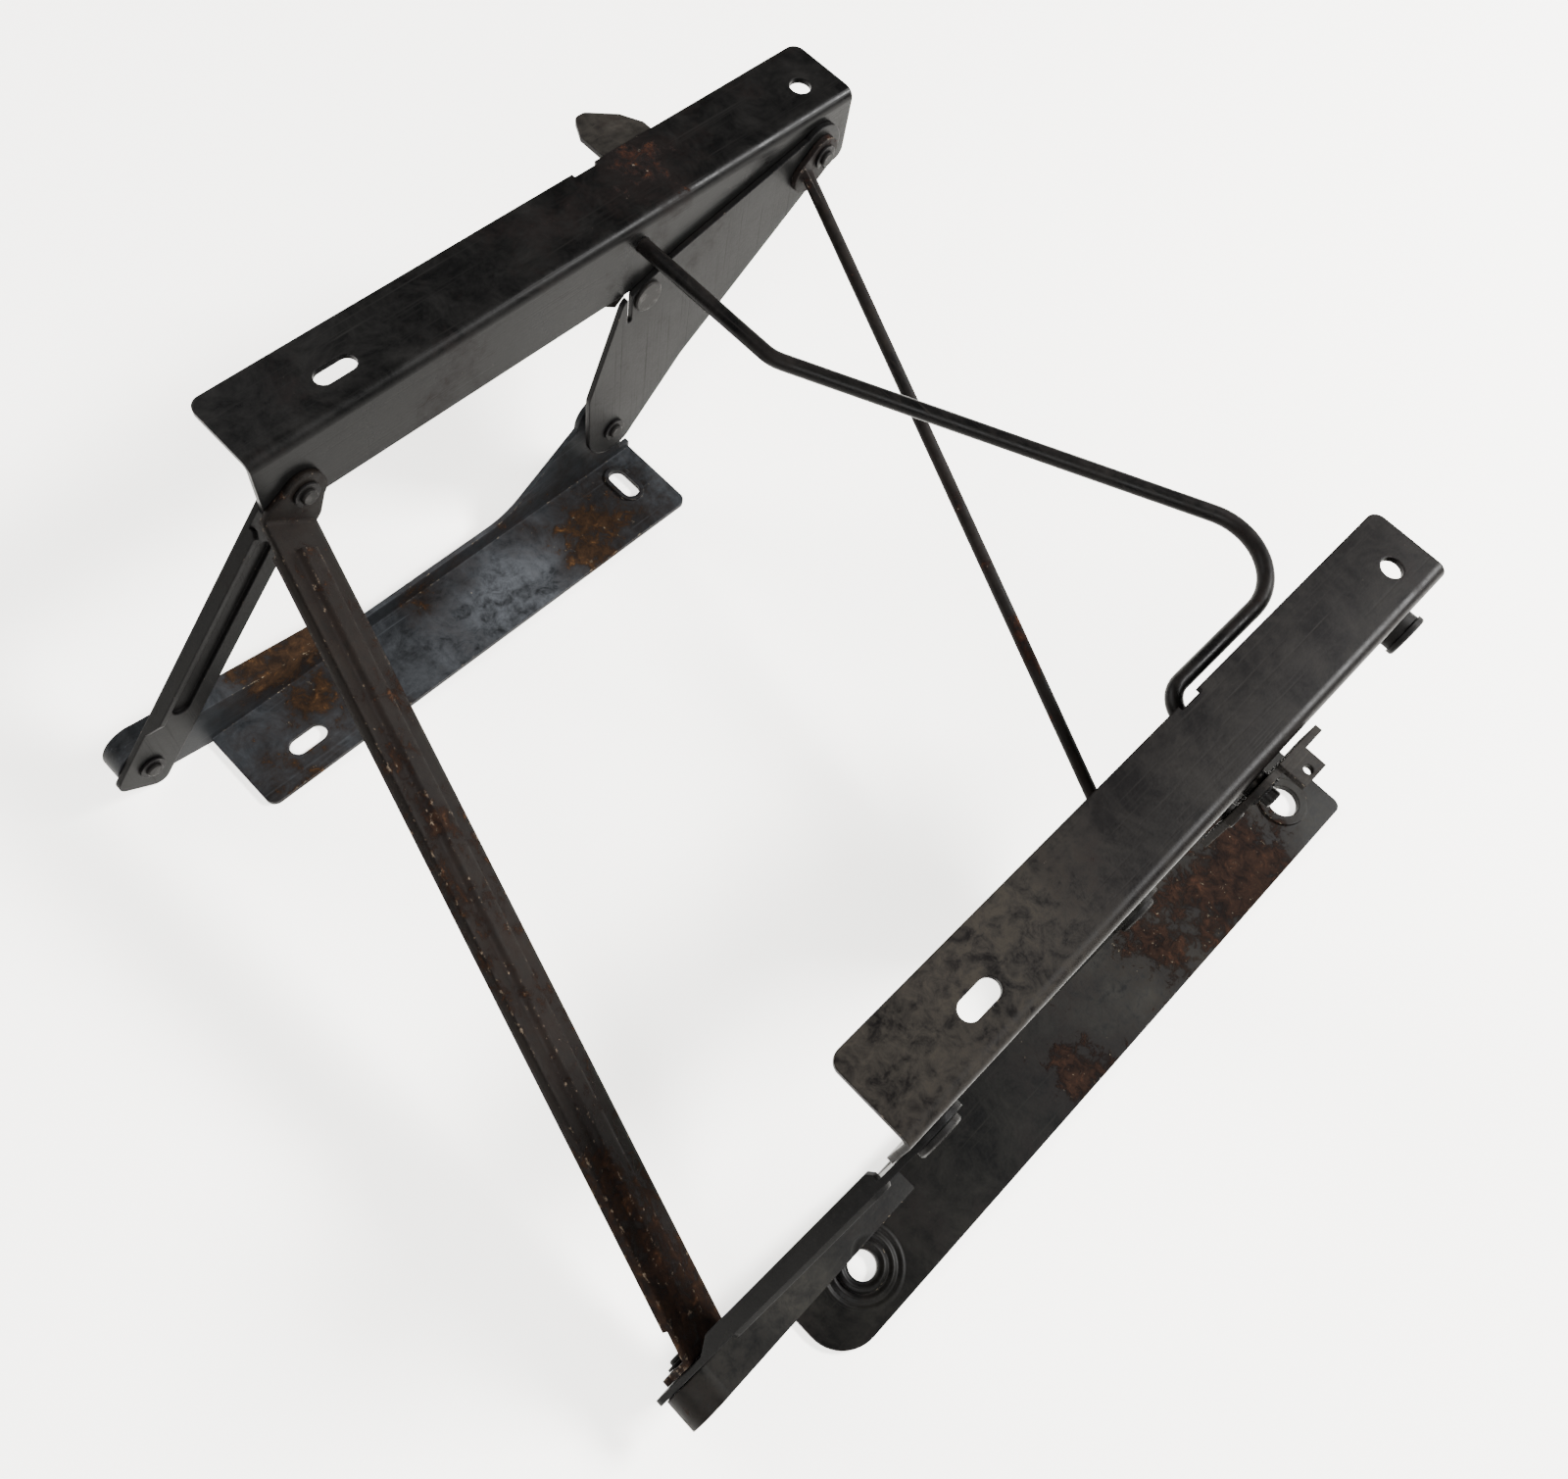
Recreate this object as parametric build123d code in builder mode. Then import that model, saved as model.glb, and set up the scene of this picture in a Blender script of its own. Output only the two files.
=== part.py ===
"""Tip-forward front seat base: a pair of pressed-steel side linkages joined by two diagonal braces.

Each side is a four-bar linkage. A lower bracket bolts to the floor. A front link and a triangular rear
link rise from it, and a seat rail (the upper bracket) rides on top. A cranked release rod crosses between
the rails and carries a hook lever at each end. The hooks hold a stud on each rear link in use.

Frame: X across the seat (left side negative), Y along the rails (front negative), Z up, floor at Z = 0.
Lengths are millimetres. Everything is drawn about the linkage's own centre plane, and each finished
piece is then set over so that the origin stands under the middle of the whole part.
"""
from build123d import *
import os
from math import atan2, cos, hypot, radians, sin

os.makedirs("parts", exist_ok=True)

LEFT, RIGHT = -1, 1
SIDES = {"left": LEFT, "right": RIGHT}

# ---------------------------------------------------------------- driving dimensions
# Overall
rail_length = 360.0
rail_front = -124.0            # front end of the seat rails
rail_height = 184.0            # top of the seat rails above the floor
web_span = 374.0               # between the outboard faces of the two rail webs
centre_plane = 8.0             # X of the linkage's centre plane, off the middle of the overall box

# Sheet and clearances
sheet = 3.0                    # all pressed plates
lever_sheet = 3.5              # hook levers
plate_gap = 0.5                # between plates that slide past each other
running_gap = 0.05             # radial, pin in a plate that turns on it
stop_gap = 0.5                 # between a part and the stop that it comes to rest on

# Seat rail (upper bracket)
rail_flange = 42.0
rail_web = 41.0
rail_bend = 2.5                # inside bend radius
rail_corner = 6.0
seat_slot_length, seat_slot_width = 21.0, 9.5
seat_slot_inset = 57.0         # from the front end of the rail to the slot's centre
seat_hole_radius = 5.5
seat_hole_inset = 20.0         # from the rear end of the rail to the hole's centre
seat_hole_line = 18.5          # from the bend to both fixing holes
notch_length, notch_depth = 14.0, 2.0
notch_inset = 217.0            # from the front end of the rail to the notch's centre

# Pivots
front_pivot_inset = 19.0       # upper front pivot behind the rail's front end
front_pivot_drop = 31.0        # upper front pivot below the rail's top
rear_pivot_inset = 24.0        # upper rear pivot ahead of the rail's rear end
rear_pivot_drop = 23.0
front_lean = 112.0             # how far the lower front pivot lies ahead of the upper one
rear_lean = 138.0
front_pivot_height = 22.0      # lower pivots above the floor
rear_pivot_height = 49.0
pin_radius = 4.0
pin_head_radius, pin_head_height = 10.5, 3.0
pin_tail = 3.6                 # shank past the last plate, holding the clip
head_collar_radius = 9.5       # shoulder under the upper rear pins' heads
head_collar_length = 4.5
open_pivot_travel = 3.3        # how far the upper rear pin may wander in the rail's hole
side_float = 0.3               # endwise play beside pins, bushes and collars
clip_radius, clip_thickness = 6.5, 1.2
clip_gap, clip_opening = 4.0, 250.0
clip_seat = 0.4                # last plate to the clip
groove_radius = 3.1
spacer_radius = 6.5
edge_break, head_break = 0.6, 0.8

# Lower brackets
lug_radius = 15.0
rear_lug_radius = 16.0
valley_height = 14.0           # web height between the two lugs
valley_radius = 40.0           # where the web starts to rise to the rear lug
rear_rise = 67.0               # from there to the lower rear pivot
web_tail = 7.5                 # web left standing behind the rear lug
arm_lip_width = {LEFT: 10.0, RIGHT: 13.0}   # stiffening lip along the top of the front arm
arm_lip_end = -90.0            # where the lip runs out
foot_corner = 5.0
left_foot_front, left_foot_rear, left_foot_width = -186.0, 97.0, 52.0
right_foot_front, right_foot_rear, right_foot_width = -168.0, 235.0, 47.0
right_foot_nose = 20.0         # corner radius at the front of the right foot
floor_slot_length, floor_slot_width = 21.0, 10.0
left_front_slot = (-160.0, -151.0)
left_rear_slot = (-173.0, 77.0)
right_front_hole, right_front_radius = (213.5, -130.0), 7.0
right_rear_hole, right_rear_radius = (213.5, 211.0), 9.0
boss_rim, boss_height = 5.0, 1.2

# Links
front_link_half_width = 14.0
front_link_foot = 15.0         # plate past the lower pivot
front_rib_width, front_rib_depth = 13.0, 2.4
front_rib_start, front_rib_end = 33.0, 31.0
link_flange_width = 5.0        # stiffening flange bent inboard along the front edge
link_flange_start, link_flange_end = 24.0, 24.0
rear_link_top_radius, rear_link_foot_radius = 15.0, 17.0
rib_taper = 30.0
link_corner = 6.0
rear_link_waist, waist_share = 10.5, 0.3
rear_link_corner_forward, rear_link_corner_rise = 15.0, 3.5   # high corner, from the catch stud
rear_link_shoulder = (32.0, 11.0)                             # from the high corner
brow_share, brow_radius = 0.38, 12.0
relief_slot_inset = 4.0        # behind the high corner
relief_slot_width, relief_slot_depth = 3.0, 14.0

# Braces
front_brace_width = 30.0
front_brace_tab = 16.5         # pivot to bend
front_bead_width, front_bead_height = 12.5, 2.6
bead_flank = 55.0
front_bead_inset = 15.0        # bend to the start of the bead
front_brace_turn = 4.0         # depth of the turned-down edges
tab_nose = 11.0
rear_bar_radius = 3.4
rear_tab_radius = 10.0
rear_brace_tab = 12.0
flat_length = 24.0             # over which the bar is hammered flat

# Release rod and hook levers
rod_radius = 4.0
rod_axis_inset = 217.0         # behind the rail's front end
rod_axis_drop = 15.0           # below the rail's top
crank_start = -97.0            # where the rod leaves its own axis
crank_end = 137.5              # where it comes back
crank_rise = 117.0             # sharp corner of the crank, behind the axis
hook_release_angle = 20.0      # from engaged to released
crank_start_bend, crank_far_bend, crank_end_bend = 20.0, 30.0, 14.0
rod_overhang = 4.5             # past the washer
stud_radius = 4.5
stud_overhang = 2.0            # past the hook
rivet_head_radius, rivet_head_height = 8.5, 2.0
hook_gap = 0.5                 # hook to stud when engaged
hook_width = 6.5
hook_reach = 2.5               # hook tip past the stud's centre
hook_heel, hook_nose = 4.5, 2.9   # corner radii of the hook
fork_gap = 1.5                 # front prong to stud when released
fork_width = 12.0
lever_hub_radius = 11.0
lever_arm_drop = 7.0
lever_shoulder = 8.8           # top of the hub's front shoulder above the rod
tongue_front, tongue_rear = 15.0, 46.0          # behind the rod's axis
tongue_edge, tongue_taper = 256.0, 12.0
cable_arm_rear = 34.0
cable_tab_front, cable_tab_width, cable_tab_reach = 7.0, 15.0, 14.0
cable_hole_radius, cable_hole_inset = 2.2, 4.0
washer_radius, washer_thickness = 7.5, 1.2
washer_teeth, washer_tooth = 12, 0.8

# ---------------------------------------------------------------- derived layout
rail_rear = rail_front + rail_length
web_outer = web_span / 2
web_inner = web_outer - sheet
front_link_inner = web_outer + plate_gap
lower_web_inner = front_link_inner + sheet + plate_gap
lower_web_outer = lower_web_inner + sheet
rear_link_inner = web_inner - plate_gap - sheet
lever_inner = web_outer + sheet
lever_outer = lever_inner + lever_sheet
flange_under = rail_height - sheet
web_bottom = rail_height - rail_web

upper_front = (rail_front + front_pivot_inset, rail_height - front_pivot_drop)
upper_rear = (rail_rear - rear_pivot_inset, rail_height - rear_pivot_drop)
lower_front = (upper_front[0] - front_lean, front_pivot_height)
lower_rear = (upper_rear[0] - rear_lean, rear_pivot_height)
rod_axis = (rail_front + rod_axis_inset, rail_height - rod_axis_drop)
stud = (rod_axis[0] + 1.0, web_bottom - stop_gap - stud_radius)

# How far inboard the last plate reaches on each pivot of each side
front_brace_inner = {LEFT: web_inner - plate_gap - sheet, RIGHT: front_link_inner - plate_gap - sheet}
rear_brace_inner = rear_link_inner - plate_gap - sheet


def plate_plane(side, inner, thickness):
    """Y-Z plane on the low-X face of a plate whose inboard face is `inner` from the centre plane."""
    return Plane.YZ.offset(inner if side == RIGHT else -(inner + thickness))


def link_plane(origin_x, start, end):
    """Plane across X, with its own x axis running from one pivot to another."""
    angle = atan2(end[1] - start[1], end[0] - start[0])
    return Plane(origin=(origin_x, *start), x_dir=(0, cos(angle), sin(angle)), z_dir=(1, 0, 0))


def low_x(side, inner, thickness):
    """Low-X face of something `thickness` wide whose inboard face is `inner` from the centre plane."""
    return inner if side == RIGHT else -(inner + thickness)


def distance(a, b):
    return hypot(b[0] - a[0], b[1] - a[1])


def save(solid, name, color):
    part = Pos(centre_plane, 0, 0) * solid
    part.label = name
    part.color = Color(*color)
    export_step(part, f"parts/{name}.step")


PAINT = (0.09, 0.09, 0.10)
RUST = (0.30, 0.20, 0.14)
STEEL = (0.45, 0.45, 0.47)


# ---------------------------------------------------------------- seat rails
def upper_bracket(side):
    """Angle section rail: a web with both upper pivots, and a flange that takes the seat's bolts."""
    bend_x = web_outer if side == RIGHT else -web_inner
    flange_edge = bend_x - rail_flange
    with BuildPart() as rail:
        with BuildSketch(Plane.XZ.offset(-rail_rear)) as section:
            with BuildLine():
                Polyline(
                    (flange_edge, rail_height),
                    (bend_x, rail_height),
                    (bend_x, web_bottom),
                    (bend_x - sheet, web_bottom),
                    (bend_x - sheet, flange_under),
                    (flange_edge, flange_under),
                    close=True,
                )
            make_face()
            outer_corner = section.vertices().sort_by_distance((bend_x, rail_height))[0]
            fillet(outer_corner, radius=rail_bend + sheet)
            inner_corner = section.vertices().sort_by_distance((bend_x - sheet, flange_under))[0]
            fillet(inner_corner, radius=rail_bend)
        extrude(amount=rail_length)
        fillet(rail.edges().filter_by(Axis.Z).group_by(Axis.X)[0], radius=rail_corner)
        fillet(rail.edges().filter_by(Axis.X).group_by(Axis.Z)[0], radius=rail_corner)
        with BuildSketch(Plane.XY.offset(rail_height)):
            with Locations((bend_x - seat_hole_line, rail_front + seat_slot_inset)):
                SlotOverall(seat_slot_length, seat_slot_width, rotation=90)
            with Locations((bend_x - seat_hole_line, rail_rear - seat_hole_inset)):
                Circle(seat_hole_radius)
            with Locations((flange_edge, rail_front + notch_inset)):
                Rectangle(2 * notch_depth, notch_length)
        extrude(amount=-2 * sheet, mode=Mode.SUBTRACT)
        with BuildSketch(plate_plane(side, web_inner, sheet)):
            with Locations(upper_front):
                Circle(pin_radius)
            with Locations(upper_rear):
                Circle(pin_radius + running_gap + open_pivot_travel)
            with Locations(rod_axis):
                Circle(rod_radius + running_gap)
        extrude(amount=sheet, mode=Mode.SUBTRACT)
    return rail.part


# ---------------------------------------------------------------- lower brackets
def lower_bracket(side):
    """Floor bracket: bolted foot, upright web with the two lower pivots, and a lip along the front arm."""
    if side == LEFT:
        foot_front, foot_rear, foot_width = left_foot_front, left_foot_rear, left_foot_width
        foot_edge_near = -lower_web_outer
    else:
        foot_front, foot_rear, foot_width = right_foot_front, right_foot_rear, right_foot_width
        foot_edge_near = lower_web_inner
    foot_mid = (foot_front + foot_rear) / 2
    arm_top = lower_front[1] + lug_radius
    lug_rear = lower_rear[0] + rear_lug_radius
    rise_front = lower_rear[0] - rear_rise

    def web_outline():
        """Closed outline of the web, drawn once and used for the web and for its lip."""
        with BuildSketch() as face:
            with BuildLine():
                Polyline(
                    (foot_rear, 0),
                    (foot_front, 0),
                    (lower_front[0], lower_front[1] - lug_radius),
                    lower_front,
                    (lower_front[0], arm_top),
                    (arm_lip_end, valley_height),
                    (rise_front, valley_height),
                    (lower_rear[0] - rear_lug_radius, lower_rear[1]),
                    lower_rear,
                    (lug_rear, lower_rear[1]),
                    (lug_rear, web_tail),
                    (foot_rear, web_tail),
                    close=True,
                )
            make_face()
            with Locations(lower_front):
                Circle(lug_radius)
            with Locations(lower_rear):
                Circle(rear_lug_radius)
        return face.sketch

    outline = web_outline()
    with BuildPart() as bracket:
        with BuildSketch(plate_plane(side, lower_web_inner, sheet)):
            add(outline)
        extrude(amount=sheet)
        valley_end = (side * lower_web_inner, rise_front, valley_height)
        fillet(bracket.edges().filter_by(Axis.X).sort_by_distance(valley_end)[0], radius=valley_radius)
        with BuildSketch(Plane.XY):
            with Locations((foot_edge_near + foot_width / 2, foot_mid)):
                Rectangle(foot_width, foot_rear - foot_front)
        extrude(amount=sheet)
        free_edge = bracket.edges().filter_by(Axis.Z).group_by(Axis.X)[-1].sort_by(Axis.Y)
        fillet(free_edge[0], radius=foot_corner if side == LEFT else right_foot_nose)
        free_edge = bracket.edges().filter_by(Axis.Z).group_by(Axis.X)[-1].sort_by(Axis.Y)
        fillet(free_edge[-1], radius=foot_corner)

        # stiffening lip, bent outboard along the lug and the arm
        lip_width = arm_lip_width[side]
        lip_plane = plate_plane(side, lower_web_inner, sheet + lip_width)
        with BuildSketch(lip_plane) as lip:
            add(outline)
            offset(outline, amount=-sheet, mode=Mode.SUBTRACT)
            reach = lug_radius + sheet
            with BuildLine():
                Polyline(
                    (lower_front[0] - reach, lower_front[1]),
                    (lower_front[0] - reach, arm_top + reach),
                    (arm_lip_end, arm_top + reach),
                    (arm_lip_end, valley_height - 2 * sheet),
                    (lower_front[0] + lug_radius, lower_front[1]),
                    close=True,
                )
            make_face(mode=Mode.INTERSECT)
        extrude(amount=sheet + lip_width)

        with BuildSketch(plate_plane(side, lower_web_inner, sheet)):
            with Locations(lower_front, lower_rear):
                Circle(pin_radius)
        extrude(amount=sheet, mode=Mode.SUBTRACT)

        # floor fixings, each with a pressed rim on the upper face
        if side == LEFT:
            with BuildSketch(Plane.XY.offset(sheet)):
                with Locations(left_rear_slot):
                    SlotOverall(floor_slot_length + boss_rim, floor_slot_width + boss_rim)
            extrude(amount=boss_height)
            with BuildSketch(Plane.XY):
                with Locations(left_front_slot):
                    SlotOverall(floor_slot_length, floor_slot_width, rotation=90)
                with Locations(left_rear_slot):
                    SlotOverall(floor_slot_length, floor_slot_width)
            extrude(amount=2 * sheet, mode=Mode.SUBTRACT)
        else:
            for centre, radius in (
                (right_front_hole, right_front_radius),
                (right_rear_hole, right_rear_radius),
            ):
                with BuildSketch(Plane.XY.offset(sheet)):
                    with Locations(centre):
                        Circle(radius + boss_rim)
                extrude(amount=boss_height)
                with BuildSketch(Plane.XY):
                    with Locations(centre):
                        Circle(radius)
                extrude(amount=2 * sheet, mode=Mode.SUBTRACT)
    return bracket.part


# ---------------------------------------------------------------- links
def front_link(side):
    """Strap between the front pivots, stiffened by a rib pressed outward and cut off square at the foot."""
    length = distance(lower_front, upper_front)
    width = 2 * front_link_half_width
    low = low_x(side, front_link_inner, sheet)
    outer_face = front_link_inner + sheet
    rib_mid = (front_rib_start + length - front_rib_end) / 2
    rib_length = length - front_rib_start - front_rib_end
    face = link_plane(low, lower_front, upper_front)
    rib_face = link_plane(side * outer_face, lower_front, upper_front)
    recess_face = link_plane(side * front_link_inner, lower_front, upper_front)
    with BuildPart() as link:
        with BuildSketch(face) as strap:
            with Locations(((length - front_link_foot) / 2, 0)):
                Rectangle(length + front_link_foot, width)
            fillet(strap.vertices().group_by(Axis.X)[0], radius=link_corner)
            with Locations((length, 0)):
                Circle(front_link_half_width)
        extrude(amount=sheet)
        with BuildSketch(rib_face):
            with Locations((rib_mid, 0)):
                SlotOverall(rib_length, front_rib_width)
        extrude(amount=side * front_rib_depth, taper=rib_taper)
        with BuildSketch(recess_face):
            with Locations((rib_mid, 0)):
                SlotOverall(rib_length - sheet, front_rib_width - sheet)
        extrude(amount=side * front_rib_depth, mode=Mode.SUBTRACT)
        # flange along the front edge, bent inboard and tapered off at both ends
        edge_plane = Plane(
            origin=recess_face.from_local_coords((0, front_link_half_width, 0)),
            x_dir=face.x_dir,
            z_dir=face.y_dir,
        )
        reach = side * link_flange_width
        flange_end = length - link_flange_end
        with BuildSketch(edge_plane):
            with BuildLine():
                Polyline(
                    (link_flange_start, 0),
                    (link_flange_start + 2 * link_flange_width, reach),
                    (flange_end - link_flange_width / 2, reach),
                    (flange_end, reach / 2),
                    (flange_end, 0),
                    close=True,
                )
            make_face()
        extrude(amount=-sheet)
        with BuildSketch(face):
            with Locations((0, 0), (length, 0)):
                Circle(pin_radius + running_gap)
        extrude(amount=sheet, mode=Mode.SUBTRACT)
    return link.part


def rear_link(side):
    """Triangular plate: both rear pivots, and a high corner that carries the catch stud."""
    length = distance(lower_rear, upper_rear)
    across = ((upper_rear[1] - lower_rear[1]) / length, -(upper_rear[0] - lower_rear[0]) / length)

    def off_line(share, offset_down):
        """Point beside the line between the pivots; positive offsets lie on its rear, lower side."""
        return (
            lower_rear[0] + share * (upper_rear[0] - lower_rear[0]) + offset_down * across[0],
            lower_rear[1] + share * (upper_rear[1] - lower_rear[1]) + offset_down * across[1],
        )

    corner = (stud[0] - rear_link_corner_forward, stud[1] + rear_link_corner_rise)
    shoulder = (corner[0] + rear_link_shoulder[0], corner[1] + rear_link_shoulder[1])
    brow = (lower_rear[0] - rear_link_foot_radius, lower_rear[1] + brow_share * (corner[1] - lower_rear[1]))
    with BuildPart() as link:
        with BuildSketch(plate_plane(side, rear_link_inner, sheet)) as plate:
            with BuildLine():
                Polyline(
                    off_line(0, rear_link_foot_radius),
                    off_line(waist_share, rear_link_waist),
                    off_line(1, rear_link_top_radius),
                    off_line(1, -rear_link_top_radius),
                    shoulder,
                    corner,
                    brow,
                    (lower_rear[0] - rear_link_foot_radius, lower_rear[1]),
                    close=True,
                )
            make_face()
            for point, radius in ((corner, link_corner), (brow, brow_radius), (shoulder, brow_radius)):
                fillet(plate.vertices().sort_by_distance(point)[0], radius=radius)
            with Locations(lower_rear):
                Circle(rear_link_foot_radius)
            with Locations(upper_rear):
                Circle(rear_link_top_radius)
            with Locations((corner[0] + relief_slot_inset, corner[1] - relief_slot_depth)):
                Circle(relief_slot_width / 2, mode=Mode.SUBTRACT)
            with Locations((corner[0] + relief_slot_inset, corner[1] - relief_slot_depth / 2 + sheet)):
                Rectangle(relief_slot_width, relief_slot_depth + 2 * sheet, mode=Mode.SUBTRACT)
            with Locations(upper_rear, stud):
                Circle(pin_radius, mode=Mode.SUBTRACT)
            with Locations(lower_rear):
                Circle(pin_radius + running_gap, mode=Mode.SUBTRACT)
        extrude(amount=sheet)
    return link.part


def catch_stud(side):
    """Shouldered stud riveted through the rear link; it reaches out under the rail's web to the hook."""
    inner_face = rear_link_inner - rivet_head_height
    with BuildPart() as body:
        with BuildSketch(plate_plane(side, inner_face, 0)):
            with Locations(stud):
                Circle(rivet_head_radius)
        extrude(amount=side * rivet_head_height)
        with BuildSketch(plate_plane(side, rear_link_inner, 0)):
            with Locations(stud):
                Circle(pin_radius)
        extrude(amount=side * sheet)
        with BuildSketch(plate_plane(side, rear_link_inner + sheet, 0)):
            with Locations(stud):
                Circle(stud_radius)
        extrude(amount=side * (lever_outer + stud_overhang - rear_link_inner - sheet))
        rim = body.edges().filter_by(GeomType.CIRCLE).sort_by(Axis.X)
        chamfer(rim[-1] if side == RIGHT else rim[0], length=edge_break)
        chamfer(rim[0] if side == RIGHT else rim[-1], length=edge_break)
    return body.part


# ---------------------------------------------------------------- pins and clips
def hinge_pin(side, pivot, head_inner, shank_inner, collar=0.0):
    """Headed pin: flat disc head outboard, plain shank running inboard, and a groove near its end."""
    with BuildPart() as pin:
        with BuildSketch(plate_plane(side, head_inner, 0)):
            with Locations(pivot):
                Circle(pin_head_radius)
        extrude(amount=side * pin_head_height)
        with BuildSketch(plate_plane(side, shank_inner - pin_tail, 0)):
            with Locations(pivot):
                Circle(pin_radius)
        extrude(amount=side * (head_inner - shank_inner + pin_tail))
        rim = pin.edges().filter_by(GeomType.CIRCLE).sort_by(Axis.X)
        chamfer(rim[-1] if side == RIGHT else rim[0], length=head_break)
        chamfer(rim[0] if side == RIGHT else rim[-1], length=edge_break)
        if collar:
            with BuildSketch(plate_plane(side, head_inner - collar, 0)):
                with Locations(pivot):
                    Circle(head_collar_radius)
            extrude(amount=side * collar)
        with BuildSketch(plate_plane(side, shank_inner - clip_seat - clip_thickness, 0)):
            with Locations(pivot):
                Circle(pin_head_radius)
                Circle(groove_radius, mode=Mode.SUBTRACT)
        extrude(amount=side * clip_thickness, mode=Mode.SUBTRACT)
    return pin.part


def pin_clip(side, pivot, shank_inner, opening):
    """Open retaining ring in the pin's groove; `opening` is the direction of its gap in degrees."""
    with BuildPart() as clip:
        with BuildSketch(plate_plane(side, shank_inner - clip_seat - clip_thickness, 0)):
            with Locations(pivot):
                Circle(clip_radius)
                Circle(groove_radius, mode=Mode.SUBTRACT)
            with Locations(Location((*pivot, 0), (0, 0, opening))):
                with Locations((clip_radius, 0)):
                    Rectangle(2 * clip_radius, clip_gap, mode=Mode.SUBTRACT)
        extrude(amount=side * clip_thickness)
    return clip.part


def rear_spacer(side):
    """Bush on the lower rear pin, filling the step between the rear link and the floor bracket."""
    start = rear_link_inner + sheet + side_float
    with BuildPart() as bush:
        with BuildSketch(plate_plane(side, start, 0)):
            with Locations(lower_rear):
                Circle(spacer_radius)
                Circle(pin_radius, mode=Mode.SUBTRACT)
        extrude(amount=side * (lower_web_inner - start))
    return bush.part


# ---------------------------------------------------------------- braces
def front_cross_brace():
    """Pressed strip from the left upper front pivot to the right lower one, with a tab bent at each end."""
    link_length = distance(lower_front, upper_front)
    along = Vector(0, upper_front[0] - lower_front[0], upper_front[1] - lower_front[1]) / link_length
    width_dir = Vector(0, along.Z, -along.Y)
    left_mid = -(front_brace_inner[LEFT] + sheet / 2)
    right_mid = front_brace_inner[RIGHT] + sheet / 2
    top_bend = Vector(left_mid, *upper_front) - along * front_brace_tab
    low_bend = Vector(right_mid, *lower_front) + along * front_brace_tab
    run = low_bend - top_bend
    half = front_brace_width / 2
    start_plane = Plane(origin=top_bend, x_dir=width_dir, z_dir=run)
    bead_plane = Plane(origin=top_bend + run.normalized() * front_bead_inset, x_dir=width_dir, z_dir=run)
    bead_run = run.length - 2 * front_bead_inset
    with BuildPart() as brace:
        with BuildSketch(start_plane):
            Rectangle(front_brace_width, sheet)
        extrude(amount=run.length)
        with BuildSketch(bead_plane):
            for edge in (half - sheet / 2, sheet / 2 - half):
                with Locations((edge, -front_brace_turn / 2)):
                    Rectangle(sheet, front_brace_turn)
            with Locations((0, sheet / 2)):
                Trapezoid(front_bead_width, front_bead_height, bead_flank, align=(Align.CENTER, Align.MIN))
        extrude(amount=bead_run)
        with BuildSketch(bead_plane):
            with Locations((0, -sheet / 2)):
                Trapezoid(
                    front_bead_width - sheet, front_bead_height, bead_flank, align=(Align.CENTER, Align.MIN)
                )
        extrude(amount=bead_run, mode=Mode.SUBTRACT)
        for bend, tab_inner, side, pivot in (
            (top_bend, front_brace_inner[LEFT], LEFT, upper_front),
            (low_bend, front_brace_inner[RIGHT], RIGHT, lower_front),
        ):
            with BuildSketch(Plane(origin=bend - width_dir * half, x_dir=(1, 0, 0), z_dir=width_dir)):
                Circle(sheet / 2)
            extrude(amount=front_brace_width)
            towards = 1 if side == LEFT else -1
            low = low_x(side, tab_inner, sheet)
            tab_plane = Plane(origin=(low, bend.Y, bend.Z), x_dir=along * towards, z_dir=(1, 0, 0))
            with BuildSketch(tab_plane):
                with BuildLine():
                    Polyline(
                        (0, -half),
                        (front_brace_tab - tab_nose, -half),
                        (front_brace_tab, -tab_nose),
                        (front_brace_tab, tab_nose),
                        (front_brace_tab - tab_nose, half),
                        (0, half),
                        close=True,
                    )
                make_face()
                with Locations((front_brace_tab, 0)):
                    Circle(tab_nose)
            extrude(amount=sheet)
            with BuildSketch(plate_plane(side, tab_inner, sheet)):
                with Locations(pivot):
                    Circle(pin_radius + running_gap)
            extrude(amount=sheet, mode=Mode.SUBTRACT)
    return brace.part


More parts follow.
